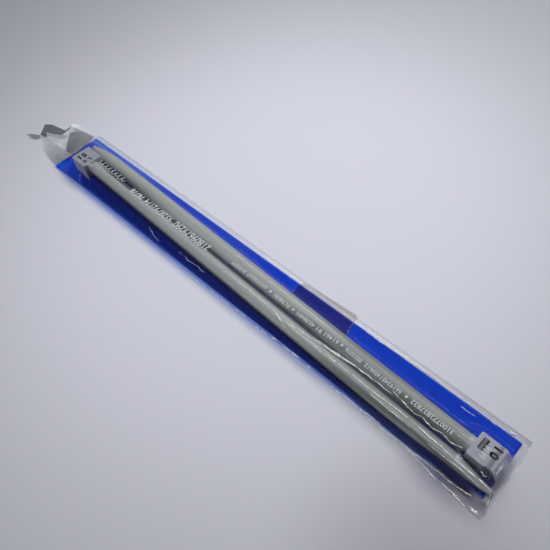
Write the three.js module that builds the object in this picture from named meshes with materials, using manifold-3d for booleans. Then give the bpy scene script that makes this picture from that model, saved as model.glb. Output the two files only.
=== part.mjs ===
// Pair of straight knitting needles, laid head to tail on a stiff sheet in a clear sleeve.
// Millimetres. +X runs along the pack to its sealed end, +Y away from the near edge, +Z up.
// The origin is on the underside of the sleeve, below the middle of the backing sheet.
import * as THREE from 'three';
import { mergeVertices } from 'three/addons/utils/BufferGeometryUtils.js';
import Module from 'manifold-3d';

const wasm = await Module();
wasm.setup();

// Driving dimensions of a needle
const NEEDLE_LENGTH = 363; // from the cap's end face to the point
const SHAFT_RADIUS = 5;
const TUBE_WALL = 1;
const TAPER_LENGTH = 27;
const NOSE_RADIUS = 1.6;
const SOLID_NOSE = 9; // the swaged point is solid over this length
const SHAFT_SIDES = 36;

// Driving dimensions of a cap
const CAP_LENGTH = 16;
const CAP_WIDTH = 15.6;
const CAP_HEIGHT = 12.6;
const CAP_EDGE = 1.1;
const CAP_FLOOR = 3.6; // plastic between the end face and the tube's seat
const SEAT_GAP = 0.3; // between the tube and the cap that holds it

// Driving dimensions of the backing sheet
const SHEET_SPARE = 15; // the sheet is this much longer than a needle
const SHEET_WIDTH = 39.7;
const SHEET_THICKNESS = 0.4;
const SHEET_CORNER = 1.2;

// Driving dimensions of the sleeve
const FILM = 0.25;
const MOUTH_BEYOND_SHEET = 8; // the front film's open edge lies this far past the sheet
const SEAL_BEYOND_SHEET = 6.5; // the welded end lies this far past the sheet
const SIDE_SEAL = 1.65; // width of the weld along each long edge
const END_SEAL = 2.1;
const END_FLARE = 5.9; // the flat welded end is wider than the filled sleeve, on its near side
const FLARE_LENGTH = 54;
const FLARE_STEPS = 6;
const LONG_STEPS = 6; // sections of the front film between its two ends
const CAP_TO_SHAFT = 6; // the front film comes down from the near cap to the shaft over this length
const LIP_LENGTH = 39; // the back film's lip past the front film's edge
const LIP_SHOULDER = 21; // the lip narrows faster up to here, then slower
const LIP_SHOULDER_INSET = 8;
const LIP_END_WIDTH = 17;
const LIP_END_Y = -4;

// Driving dimensions of the label under the sleeve, flush with the underside of the back film
const LABEL_LENGTH = 48;
const LABEL_WIDTH = 29;
const LABEL_THICKNESS = 0.12;
const LABEL_CORNER = 1;
const LABEL_GAP = 0.15; // between the label's edges and the film pressed up round it
const LABEL_X = 51;

// How the pieces lie
const REST_GAP = 0.3; // between pieces that lie on each other
const NEEDLE_GAP = 0.3; // between one needle's cap and the other needle's shaft
const FILM_GAP = 0.5; // between the front film and what lies or slides under it
const FILM_LEAN = 0.35; // the front film leans in by this much as it rises past the sheet
const NEEDLE_YAW = 0.0333; // radians that both needles lie askew of the sheet
const NEEDLE_A_SHIFT = 9.7; // how far each needle lies from the sheet's middle towards the welded end
const NEEDLE_B_SHIFT = 4.7;
const CAP_A_Y = -3.25;

// Places that follow from the driving dimensions
const sheetLength = NEEDLE_LENGTH + SHEET_SPARE;
const capAX = NEEDLE_A_SHIFT - NEEDLE_LENGTH / 2;
const capBX = NEEDLE_B_SHIFT + NEEDLE_LENGTH / 2;
const sheetBottom = FILM + REST_GAP;
const sheetTop = sheetBottom + SHEET_THICKNESS;
const needleBottom = sheetTop + REST_GAP;
const capAxisZ = needleBottom + CAP_HEIGHT / 2;
const shaftAxisZ = needleBottom + SHAFT_RADIUS;
const taperStart = NEEDLE_LENGTH - TAPER_LENGTH;
const needlePitch = Math.asin((capAxisZ - shaftAxisZ) / (taperStart - CAP_LENGTH / 2));
const needleSpacing = CAP_WIDTH / 2 + NEEDLE_GAP + SHAFT_RADIUS;
const slope = Math.tan(NEEDLE_YAW);
const axisAY = (x) => CAP_A_Y - slope * (x - capAX);
const capBY = axisAY(capBX) + needleSpacing / Math.cos(NEEDLE_YAW);

// Needle B drifts sideways as it is drawn out, so that its cap passes the cap of needle A
const capsMeetAfter = (capBX - CAP_LENGTH) - (capAX + CAP_LENGTH);
const driftSlope = slope + (CAP_WIDTH + NEEDLE_GAP - needleSpacing) / capsMeetAfter;
const pathBY = (x) => capBY + driftSlope * (capBX - x);

// The sleeve's outline
const mouthX = -sheetLength / 2 - MOUTH_BEYOND_SHEET;
const sealX = sheetLength / 2 + SEAL_BEYOND_SHEET;
const farFoot = pathBY(mouthX) + CAP_WIDTH / 2 + FILM_GAP + FILM_LEAN;
const farEdge = farFoot + SIDE_SEAL;
const nearFoot = (x) => -(SHEET_WIDTH / 2 + FILM_GAP + FILM_LEAN) - flare(x);
const nearEdge = (x) => nearFoot(x) - SIDE_SEAL;

function flare(x) {
  const t = THREE.MathUtils.smoothstep(x, sealX - FLARE_LENGTH, sealX);
  return END_FLARE * t;
}

// Materials
const coated = new THREE.MeshStandardMaterial({ color: 0x8c948f, roughness: 0.42, metalness: 0.35 });
const moulded = new THREE.MeshStandardMaterial({ color: 0xa0a3ad, roughness: 0.5, metalness: 0 });
const blueSheet = new THREE.MeshStandardMaterial({ color: 0x1440c0, roughness: 0.4, metalness: 0 });
const paper = new THREE.MeshStandardMaterial({ color: 0xd4d4d8, roughness: 0.8, metalness: 0 });
const clearFilm = new THREE.MeshStandardMaterial({
  color: 0xe4e8f2, roughness: 0.12, metalness: 0, transparent: true, opacity: 0.3,
});

// Solids and their boolean joins and cuts
function toSolid(geometry) {
  const bare = geometry.clone();
  bare.deleteAttribute('normal');
  bare.deleteAttribute('uv');
  const merged = mergeVertices(bare, 1e-4);
  return new wasm.Manifold(new wasm.Mesh({
    numProp: 3,
    vertProperties: new Float32Array(merged.attributes.position.array),
    triVerts: new Uint32Array(merged.index.array),
  }));
}

function toGeometry(solid) {
  const { vertProperties, triVerts } = solid.getMesh();
  const geometry = new THREE.BufferGeometry();
  geometry.setAttribute('position', new THREE.BufferAttribute(new Float32Array(vertProperties), 3));
  geometry.setIndex(new THREE.BufferAttribute(new Uint32Array(triVerts), 1));
  geometry.computeVertexNormals();
  return geometry;
}

// A rectangle with round corners, centred on the origin
function roundedRectangle(length, width, radius) {
  const x = length / 2;
  const y = width / 2;
  const shape = new THREE.Shape();
  shape.moveTo(-x + radius, -y);
  shape.lineTo(x - radius, -y).absarc(x - radius, -y + radius, radius, -Math.PI / 2, 0);
  shape.lineTo(x, y - radius).absarc(x - radius, y - radius, radius, 0, Math.PI / 2);
  shape.lineTo(-x + radius, y).absarc(-x + radius, y - radius, radius, Math.PI / 2, Math.PI);
  shape.lineTo(-x, -y + radius).absarc(-x + radius, -y + radius, radius, Math.PI, 1.5 * Math.PI);
  return shape;
}

// A needle lies along +X in its own frame, with its cap's end face at x = 0 and its axis at z = 0
function aboutX(profile, sides) {
  const turned = new THREE.LatheGeometry(profile, sides);
  return turned.rotateZ(-Math.PI / 2);
}

const tubeEnd = CAP_FLOOR + SEAT_GAP;

// Radius of the point at a place along the needle: a swaged cone that eases into the tube
function taperRadius(s) {
  const t = (s - taperStart) / (TAPER_LENGTH - NOSE_RADIUS);
  return SHAFT_RADIUS - (SHAFT_RADIUS - NOSE_RADIUS) * Math.pow(t, 1.35);
}

function shaftGeometry() {
  const coneSteps = 9;
  const noseSteps = 4;
  const boreRadius = SHAFT_RADIUS - TUBE_WALL;
  const boreEnd = NEEDLE_LENGTH - SOLID_NOSE;
  const noseStart = NEEDLE_LENGTH - NOSE_RADIUS;
  const profile = [];
  profile.push(new THREE.Vector2(0, boreEnd));
  for (let i = coneSteps - 1; i >= 0; i--) {
    const s = THREE.MathUtils.lerp(taperStart, boreEnd - NOSE_RADIUS, i / (coneSteps - 1));
    profile.push(new THREE.Vector2(taperRadius(s) - TUBE_WALL, s));
  }
  profile.push(new THREE.Vector2(boreRadius, tubeEnd));
  profile.push(new THREE.Vector2(SHAFT_RADIUS, tubeEnd));
  for (let i = 0; i <= coneSteps; i++) {
    const s = THREE.MathUtils.lerp(taperStart, noseStart, i / coneSteps);
    profile.push(new THREE.Vector2(taperRadius(s), s));
  }
  for (let i = 1; i <= noseSteps; i++) {
    const turn = (i / noseSteps) * Math.PI / 2;
    const radius = i === noseSteps ? 0 : NOSE_RADIUS * Math.cos(turn);
    profile.push(new THREE.Vector2(radius, noseStart + NOSE_RADIUS * Math.sin(turn)));
  }
  return aboutX(profile, SHAFT_SIDES);
}

// The cap is a rounded block with a round groove that takes the tube's end, round a centre spigot
function capGeometry() {
  const block = new THREE.ExtrudeGeometry(
    roundedRectangle(CAP_WIDTH - 2 * CAP_EDGE, CAP_HEIGHT - 2 * CAP_EDGE, CAP_EDGE),
    {
      depth: CAP_LENGTH - 2 * CAP_EDGE,
      bevelSize: CAP_EDGE,
      bevelThickness: CAP_EDGE,
      bevelSegments: 4,
      curveSegments: 4,
    },
  );
  block.translate(0, 0, CAP_EDGE).rotateX(Math.PI / 2).rotateZ(Math.PI / 2);
  const innerRadius = SHAFT_RADIUS - TUBE_WALL - SEAT_GAP;
  const outerRadius = SHAFT_RADIUS + SEAT_GAP;
  const pastFace = CAP_LENGTH + 1;
  const groove = aboutX([
    new THREE.Vector2(innerRadius, CAP_FLOOR),
    new THREE.Vector2(innerRadius, pastFace),
    new THREE.Vector2(outerRadius, pastFace),
    new THREE.Vector2(outerRadius, CAP_FLOOR),
    new THREE.Vector2(innerRadius, CAP_FLOOR),
  ].reverse(), SHAFT_SIDES);
  return toGeometry(toSolid(block).subtract(toSolid(groove)));
}

// Closed solid through loops of equal length that lie across X. Each loop runs along an inner chain
// of points and back along an outer one, so each end is closed by a strip between the two chains.
// A four-sided patch is folded along the diagonal that lies further out, as a taut film would be,
// and the patch outside it along the same one, so the wall keeps its thickness.
function loftGeometry(loops) {
  const count = loops[0].length;
  const half = count / 2;
  const positions = loops.flat().flatMap((p) => [p.x, p.y, p.z]);
  const faces = [];
  const foldsForward = (k, i) => {
    const start = loops[k][i];
    const end = loops[k + 1][i + 1];
    const across = loops[k + 1][i];
    const outward = across.clone().sub(start).cross(end.clone().sub(start));
    return start.clone().add(end).sub(across).sub(loops[k][i + 1]).dot(outward) > 0;
  };
  for (let k = 0; k < loops.length - 1; k++) {
    for (let i = 0; i < count; i++) {
      const a = k * count + i;
      const b = k * count + ((i + 1) % count);
      const outside = i >= half && i < count - 1;
      const forward = i < half - 1 ? foldsForward(k, i) : outside && !foldsForward(k, count - 2 - i);
      if (forward) {
        faces.push(a, b, b + count, a, b + count, a + count);
      } else {
        faces.push(a, b, a + count, b, b + count, a + count);
      }
    }
  }
  const last = (loops.length - 1) * count;
  for (let i = 0; i < count / 2 - 1; i++) {
    const j = count - 1 - i;
    faces.push(i, j, j - 1, i, j - 1, i + 1);
    faces.push(last + i, last + j - 1, last + j, last + i, last + i + 1, last + j - 1);
  }
  const geometry = new THREE.BufferGeometry();
  geometry.setAttribute('position', new THREE.Float32BufferAttribute(positions, 3));
  geometry.setIndex(faces);
  return geometry;
}

// The front film's section at x is a taut wrap. Its named points stand round what the film
// passes over, and any that the film wouldn't touch are raised to the taut line between the rest.
function roundCorner(y, z, radius, degrees) {
  const reach = radius / Math.cos(THREE.MathUtils.degToRad(15));
  return degrees.map((d) => {
    const turn = THREE.MathUtils.degToRad(d);
    return new THREE.Vector2(y + reach * Math.cos(turn), z + reach * Math.sin(turn));
  });
}

const capTop = needleBottom + CAP_HEIGHT;
const cornerRadius = CAP_EDGE + FILM_GAP;

function filmPoints(x, over) {
  const nearCap = roundCorner(
    axisAY(x) - CAP_WIDTH / 2 + CAP_EDGE, capTop - CAP_EDGE, cornerRadius, [165, 135, 105]);
  const nearShaft = roundCorner(
    axisAY(x), capAxisZ - (capAxisZ - shaftAxisZ) * over.along, SHAFT_RADIUS + FILM_GAP, [165, 135, 105]);
  const point = roundCorner(axisAY(x), shaftAxisZ, NOSE_RADIUS + FILM_GAP, [165, 135, 105]);
  const pathTop = [
    ...roundCorner(pathBY(x) - CAP_WIDTH / 2 + CAP_EDGE, capTop - CAP_EDGE, cornerRadius, [105]),
    ...roundCorner(pathBY(x) + CAP_WIDTH / 2 - CAP_EDGE, capTop - CAP_EDGE, cornerRadius, [75, 45, 15]),
  ];
  const riser = sheetTop + FILM_GAP;
  const nearSide = { cap: nearCap, shaft: nearShaft, point }[over.near];
  const top = over.capPath ? pathTop : pathTop.map((p) => new THREE.Vector2(p.x, riser));
  return [
    new THREE.Vector2(nearFoot(x), FILM),
    new THREE.Vector2(nearFoot(x) + FILM_LEAN, riser),
    ...nearSide,
    ...top,
    new THREE.Vector2(farFoot - FILM_LEAN + 0.05, riser),
    new THREE.Vector2(farFoot, FILM),
  ];
}

function raisedToTautLine(points) {
  const hull = [];
  for (const p of points) {
    while (hull.length > 1) {
      const a = hull[hull.length - 2];
      const b = hull[hull.length - 1];
      const turn = (b.x - a.x) * (p.y - a.y) - (b.y - a.y) * (p.x - a.x);
      if (turn < 0) break;
      hull.pop();
    }
    hull.push(p);
  }
  return points.map((p) => {
    const k = hull.findIndex((h, i) => i > 0 && h.x >= p.x);
    if (k < 1) return p.clone();
    const a = hull[k - 1];
    const b = hull[k];
    const z = a.y + (b.y - a.y) * (p.x - a.x) / (b.x - a.x);
    return new THREE.Vector2(p.x, Math.max(p.y, z));
  });
}

// Each point moved out square to the film by the film's thickness
function offsetChain(chain, distance) {
  return chain.map((p, i) => {
    if (i === 0 || i === chain.length - 1) return new THREE.Vector2(p.x, p.y + distance);
    const before = p.clone().sub(chain[i - 1]).normalize();
    const after = chain[i + 1].clone().sub(p).normalize();
    const normal = new THREE.Vector2(-before.y - after.y, before.x + after.x).normalize();
    const miter = distance / Math.max(0.5, normal.dot(new THREE.Vector2(-before.y, before.x)));
    return p.clone().addScaledVector(normal, miter);
  });
}

// Where the film comes down steeply, its outer side lies further along by its thickness
function filmLoop(x, body, outerShift = 0) {
  const inner = [new THREE.Vector2(nearEdge(x), FILM), ...body, new THREE.Vector2(farEdge, FILM)];
  const outer = offsetChain(inner, FILM).reverse();
  return [
    ...inner.map((p) => new THREE.Vector3(x, p.x, p.y)),
    ...outer.map((p) => new THREE.Vector3(x + outerShift, p.x, p.y)),
  ];
}

function sleeveFrontGeometry() {
  const pastCapA = capAX + CAP_LENGTH + FILM_GAP;
  const pastCapB = capBX + FILM_GAP;
  const tipX = capAX + NEEDLE_LENGTH * Math.cos(NEEDLE_YAW);
  const pastTip = tipX + FILM_GAP;
  const endFoot = sealX - END_SEAL;
  const flareStart = sealX - FLARE_LENGTH;
  const along = (x) => THREE.MathUtils.inverseLerp(capAX, tipX, x);
  const loops = [];
  for (const x of [mouthX, pastCapA]) {
    loops.push(filmLoop(x, raisedToTautLine(filmPoints(x, { near: 'cap', along: 0, capPath: true }))));
  }
  const shaftStations = [];
  for (let i = 0; i < LONG_STEPS; i++) {
    shaftStations.push(THREE.MathUtils.lerp(pastCapA + CAP_TO_SHAFT, flareStart, i / LONG_STEPS));
  }
  for (let i = 0; i <= FLARE_STEPS; i++) {
    shaftStations.push(THREE.MathUtils.lerp(flareStart, pastCapB, i / FLARE_STEPS));
  }
  for (const x of shaftStations) {
    const points = filmPoints(x, { near: 'shaft', along: along(x), capPath: true });
    loops.push(filmLoop(x, raisedToTautLine(points)));
  }
  const tent = raisedToTautLine(filmPoints(pastTip, { near: 'point', along: 1, capPath: false }));
  const flat = tent.map((p) => new THREE.Vector2(p.x, FILM));
  loops.push(filmLoop(pastTip, tent, FILM));
  loops.push(filmLoop(endFoot, flat, FILM));
  loops.push(filmLoop(sealX, flat));
  return loftGeometry(loops);
}

// The back film is flat, with the same welded outline and a narrowing lip past the mouth
function sleeveBackGeometry() {
  const outline = new THREE.Shape();
  const lipFar = LIP_END_Y + LIP_END_WIDTH / 2;
  const lipNear = LIP_END_Y - LIP_END_WIDTH / 2;
  outline.moveTo(mouthX, farEdge);
  outline.lineTo(mouthX - LIP_SHOULDER, farEdge - LIP_SHOULDER_INSET);
  outline.lineTo(mouthX - LIP_LENGTH, lipFar);
  outline.lineTo(mouthX - LIP_LENGTH, lipNear);
  outline.lineTo(mouthX - LIP_SHOULDER, lipNear + 1);
  outline.lineTo(mouthX, nearEdge(mouthX));
  for (let i = 0; i <= FLARE_STEPS; i++) {
    const x = THREE.MathUtils.lerp(sealX - FLARE_LENGTH, sealX, i / FLARE_STEPS);
    outline.lineTo(x, nearEdge(x));
  }
  outline.lineTo(sealX, farEdge);
  const film = new THREE.ExtrudeGeometry(outline, { depth: FILM, bevelEnabled: false });
  return toGeometry(toSolid(film).subtract(toSolid(labelGeometry(LABEL_GAP, LABEL_GAP))));
}

function sheetGeometry() {
  const outline = roundedRectangle(sheetLength, SHEET_WIDTH, SHEET_CORNER);
  const sheet = new THREE.ExtrudeGeometry(
    outline, { depth: SHEET_THICKNESS, bevelEnabled: false, curveSegments: 4 });
  return sheet.translate(0, 0, sheetBottom);
}

// The label, or the room that it takes out of the back film: wider all round, and deeper below
function labelGeometry(wider = 0, deeper = 0) {
  const outline = roundedRectangle(
    LABEL_LENGTH + 2 * wider, LABEL_WIDTH + 2 * wider, LABEL_CORNER + wider);
  const label = new THREE.ExtrudeGeometry(
    outline, { depth: LABEL_THICKNESS + deeper, bevelEnabled: false, curveSegments: 3 });
  return label.translate(LABEL_X, farEdge - LABEL_WIDTH / 2, -deeper);
}

function part(name, geometry, material) {
  const mesh = new THREE.Mesh(geometry, material);
  mesh.name = name;
  return mesh;
}

// One needle, its cap's end face at (x, y) and its point towards the given end of the pack
function needle(name, x, y, towards) {
  const group = new THREE.Group();
  group.add(part(`${name}_shaft`, shaftGeometry(), coated));
  group.add(part(`${name}_cap`, capGeometry(), moulded));
  const drop = Math.sin(needlePitch) * CAP_LENGTH / 2;
  group.position.set(x, y, capAxisZ + drop);
  group.rotation.order = 'ZYX';
  group.rotation.z = towards > 0 ? -NEEDLE_YAW : Math.PI - NEEDLE_YAW;
  group.rotation.y = needlePitch;
  return group;
}

const pack = new THREE.Group();
pack.name = 'needle_pack';
pack.add(needle('needle_a', capAX, CAP_A_Y, 1));
pack.add(needle('needle_b', capBX, capBY, -1));
pack.add(part('backing_sheet', sheetGeometry(), blueSheet));
pack.add(part('sleeve_back', sleeveBackGeometry(), clearFilm));
pack.add(part('sleeve_front', sleeveFrontGeometry(), clearFilm));
pack.add(part('rear_label', labelGeometry(), paper));

export default pack;
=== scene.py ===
import functools
import math
import random

import bmesh
import bpy
import numpy as np
from bpy.props import FloatProperty, FloatVectorProperty, IntProperty, PointerProperty, StringProperty
from mathutils import Matrix, Vector


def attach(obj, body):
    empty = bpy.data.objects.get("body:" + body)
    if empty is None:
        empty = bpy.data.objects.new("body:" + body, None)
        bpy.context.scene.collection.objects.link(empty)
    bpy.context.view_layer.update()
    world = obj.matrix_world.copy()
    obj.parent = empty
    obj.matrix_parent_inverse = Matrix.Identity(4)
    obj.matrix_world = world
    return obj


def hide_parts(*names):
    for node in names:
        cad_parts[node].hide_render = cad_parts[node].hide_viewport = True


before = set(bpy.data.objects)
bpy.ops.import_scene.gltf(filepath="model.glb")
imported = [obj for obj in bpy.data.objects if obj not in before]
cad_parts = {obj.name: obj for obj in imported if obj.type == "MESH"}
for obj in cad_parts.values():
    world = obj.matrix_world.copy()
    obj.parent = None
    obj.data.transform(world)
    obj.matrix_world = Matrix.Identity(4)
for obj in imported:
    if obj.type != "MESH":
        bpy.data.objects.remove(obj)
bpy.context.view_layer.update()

bl_info = {
    "name": "Knitting needle pack",
    "version": (1, 0, 0),
    "blender": (4, 5, 0),
    "location": "3D View > Sidebar > Needle pack",
    "description": "A pair of straight knitting needles on a blue sheet in a clear sleeve",
    "category": "Object",
}

MM = 0.001


# Settings that a user would change


class NeedleSettings(bpy.types.PropertyGroup):
    length: FloatProperty(
        name="Length", description="From the cap's end face to the point", default=0.363, unit="LENGTH")
    radius: FloatProperty(name="Radius", description="Half the needle's size", default=0.005, unit="LENGTH")
    taper: FloatProperty(
        name="Point length", description="Length of the tapered point", default=0.027, unit="LENGTH")
    nose: FloatProperty(
        name="Nose radius", description="Radius of the blunt tip", default=0.0016, unit="LENGTH")
    yaw: FloatProperty(
        name="Skew", description="How far both needles lie askew", default=0.0333, subtype="ANGLE")
    pitch: FloatProperty(
        name="Fall", description="How far each needle falls to its point", default=0.0039634, subtype="ANGLE")
    coating: FloatVectorProperty(
        name="Coating", description="Satin coat of the tube", default=(0.358, 0.385, 0.368),
        subtype="COLOR", size=3)


class CapSettings(bpy.types.PropertyGroup):
    length: FloatProperty(name="Length", description="Along the needle", default=0.016, unit="LENGTH")
    width: FloatProperty(name="Width", description="Across the needle", default=0.0156, unit="LENGTH")
    height: FloatProperty(name="Height", description="Thickness of the block", default=0.0126, unit="LENGTH")
    edge: FloatProperty(
        name="Edge radius", description="Rounding of the block's edges", default=0.0006, unit="LENGTH")
    plastic: FloatVectorProperty(
        name="Plastic", description="Moulded cap", default=(0.3, 0.31, 0.37), subtype="COLOR", size=3)
    ink: FloatVectorProperty(
        name="Ink", description="Size marks", default=(0.003, 0.003, 0.008), subtype="COLOR", size=3)
    size_text: StringProperty(name="Size", description="Metric size on the far needle's cap", default="10")
    gauge_text: StringProperty(
        name="Gauge", description="Gauge number on the near needle's cap", default="15")


class SheetSettings(bpy.types.PropertyGroup):
    length: FloatProperty(name="Length", description="Along the pack", default=0.378, unit="LENGTH")
    width: FloatProperty(name="Width", description="Across the pack", default=0.0397, unit="LENGTH")
    thickness: FloatProperty(
        name="Thickness", description="Of the stiff sheet", default=0.0004, unit="LENGTH")
    bow: FloatProperty(
        name="Bow", description="How far the sleeve pulls the near edge up", default=0.0022, unit="LENGTH")
    blue: FloatVectorProperty(
        name="Blue", description="Of the tinted sheet", default=(0.007, 0.11, 0.7), subtype="COLOR", size=3)


class SleeveSettings(bpy.types.PropertyGroup):
    columns: IntProperty(name="Columns", description="Grid cells along the film", default=392)
    rows: IntProperty(name="Rows", description="Grid cells across the film", default=104)
    film: FloatVectorProperty(
        name="Film", description="Clear film", default=(0.9, 0.91, 0.95), subtype="COLOR", size=3)
    fold_seed: IntProperty(name="Fold seed", description="Picks the small folds", default=7)


class StageSettings(bpy.types.PropertyGroup):
    floor: FloatVectorProperty(
        name="Floor", description="Pale floor", default=(0.65, 0.655, 0.733), subtype="COLOR", size=3)
    lamp_power: FloatProperty(name="Lamp power", description="Shared by the lamps", default=4.8, unit="POWER")
    lens: FloatProperty(name="Lens", description="Focal length", default=40.137, unit="CAMERA")


# Shader maths as Python expressions


class Socket:
    """An output socket whose arithmetic adds Math nodes."""

    def __init__(self, tree, out):
        self.tree, self.out = tree, out

    def math(self, operation, a, b):
        return Finish.add(self.tree, "ShaderNodeMath", {"operation": operation}, {0: a, 1: b})

    def __add__(self, other):
        return self.math("ADD", self, other)

    def __sub__(self, other):
        return self.math("SUBTRACT", self, other)

    def __mul__(self, other):
        return self.math("MULTIPLY", self, other)

    def __truediv__(self, other):
        return self.math("DIVIDE", self, other)

    def __pow__(self, other):
        return self.math("POWER", self, other)

    def __lt__(self, other):
        return self.math("LESS_THAN", self, other)

    def __rsub__(self, other):
        return self.math("SUBTRACT", other, self)

    def __rtruediv__(self, other):
        return self.math("DIVIDE", other, self)

    __radd__ = __add__
    __rmul__ = __mul__

    def clamp(self):
        return Finish.add(self.tree, "ShaderNodeClamp", {}, {"Value": self})


class Finish:
    """The nodes of a material or of the world."""

    def __init__(self, owner, place="Object"):
        self.owner = owner
        owner.use_nodes = True
        self.tree = owner.node_tree
        self.tree.nodes.clear()
        self.place = self.node("ShaderNodeTexCoord", output=place)

    @staticmethod
    def add(tree, kind, settings, sockets, output=0):
        node = tree.nodes.new(kind)
        for key, value in settings.items():
            if key == "stops":
                ramp = node.color_ramp
                while len(ramp.elements) < len(value):
                    ramp.elements.new(0.5)
                for element, (position, colour) in zip(ramp.elements, value):
                    element.position, element.color = position, (*colour, 1)
            else:
                setattr(node, key, value)
        for key, value in sockets.items():
            socket = node.inputs[key]
            if isinstance(value, Socket):
                tree.links.new(value.out, socket)
            elif socket.type == "RGBA":
                socket.default_value = (*value, 1)
            else:
                socket.default_value = value
        return Socket(tree, node.outputs[output]) if len(node.outputs) else None

    def node(self, kind, settings=None, output=0, **sockets):
        """One node: its settings first, then the values or links of its sockets by name."""
        named = {key.replace("_", " "): value for key, value in sockets.items()}
        return self.add(self.tree, kind, settings or {}, named, output)

    def axis(self, name):
        return self.node("ShaderNodeSeparateXYZ", Vector=self.place, output=name)

    def attribute(self, name, output="Fac"):
        return self.node("ShaderNodeAttribute", {"attribute_name": name}, output=output)

    def noise(self, scale, stretch=(1, 1, 1), detail=3.0):
        spot = self.node("ShaderNodeMapping", Vector=self.place, Scale=stretch)
        return self.node("ShaderNodeTexNoise", Vector=spot, Scale=scale, Detail=detail)

    def mix(self, factor, first, second):
        sockets = {0: factor, 6: first, 7: second}
        return self.add(self.tree, "ShaderNodeMix", {"data_type": "RGBA"}, sockets, 2)

    def bump(self, height, strength, distance):
        return self.node("ShaderNodeBump", Height=height, Strength=strength, Distance=distance)

    def plain(self, **sockets):
        return self.node("ShaderNodeBsdfPrincipled", **sockets)

    def surface(self, shader):
        self.node("ShaderNodeOutputMaterial", Surface=shader)
        return self.owner

    def see_through(self, share, tint, solid):
        """A clear surface that shows this share of a solid one."""
        clear = self.node("ShaderNodeBsdfTransparent", Color=tint)
        return self.surface(self.add(self.tree, "ShaderNodeMixShader", {}, {0: share, 1: clear, 2: solid}))


# The stage, in metres. Each lamp has its name, place, target, size and share of the power

LAMPS = (
    ("window", (-0.05, 0.52, 0.6), (-0.03, 0, 0), (0.8, 0.3), 0.76),
    ("ceiling", (-0.06, -0.07, 0.79), (-0.03, 0, 0), (0.35, 0.3), 0.6),
    ("near_fill", (-0.6, -0.95, 0.26), (-0.1, 0, 0), (1.0, 0.25), 0.14),
)
CAMERA_PLACE = (0.18922, -0.13958, 0.32640)
CAMERA_TURN = (0.62048, 0.07063, 0.75315)
FLOOR_HALF_SIZE = 4.0

# Where the pieces lie and their smaller measures, in millimetres

NEEDLE_A = {"end": (-171.8, -3.25), "towards": 1}
NEEDLE_B = {"end": (186.2, -2.07), "towards": -1}
NEEDLES = {"needle_a": NEEDLE_A, "needle_b": NEEDLE_B}
END_HEIGHT = 7.582
TAPER_EASE = 1.35
SHEET_TOP = 0.95
MOUTH_X = -190.6
SEAL_X = 195.5
SEAL_FOOT_X = 193.4
FAR_EDGE = 24.29
FAR_FOOT = 22.64
NEAR_FOOT = -20.7
SIDE_WELD = 1.65
FLARE = 5.9
FLARE_LENGTH = 54.0
BACK_HEIGHT = 0.16
LABEL_CORNERS = ((32.2, 7.0), (77.8, 7.0), (73.2, 25.8), (30.2, 23.0))
LABEL_CORNER_RADIUS = 2.0
LABEL_HEIGHT = 0.12
LABEL_THICKNESS = 0.1
CAP_CORNER = 0.9
SHEET_CORNER = 0.5
WORN_CORNER = 2.2

# How the front film drapes, in millimetres

FILM_REST = 0.3
FILM_GAP = 0.12
FILM_CLIMB = 3.6
ON_SHEET_X, ON_SHEET_Y = 189.2, 20.0
TENT_LEAN = math.radians(62)
TENT_GAP = 0.1
FAR_BELOW = -9
SETTLING_STEPS = 9
BRIDGED_X = (-185, 190)
SMALL_FOLDS = 130

# Sharp folds in the film as lines, drawn white with painted glints: start x, y, end x, y, how far they stray,
# and half their width

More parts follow.
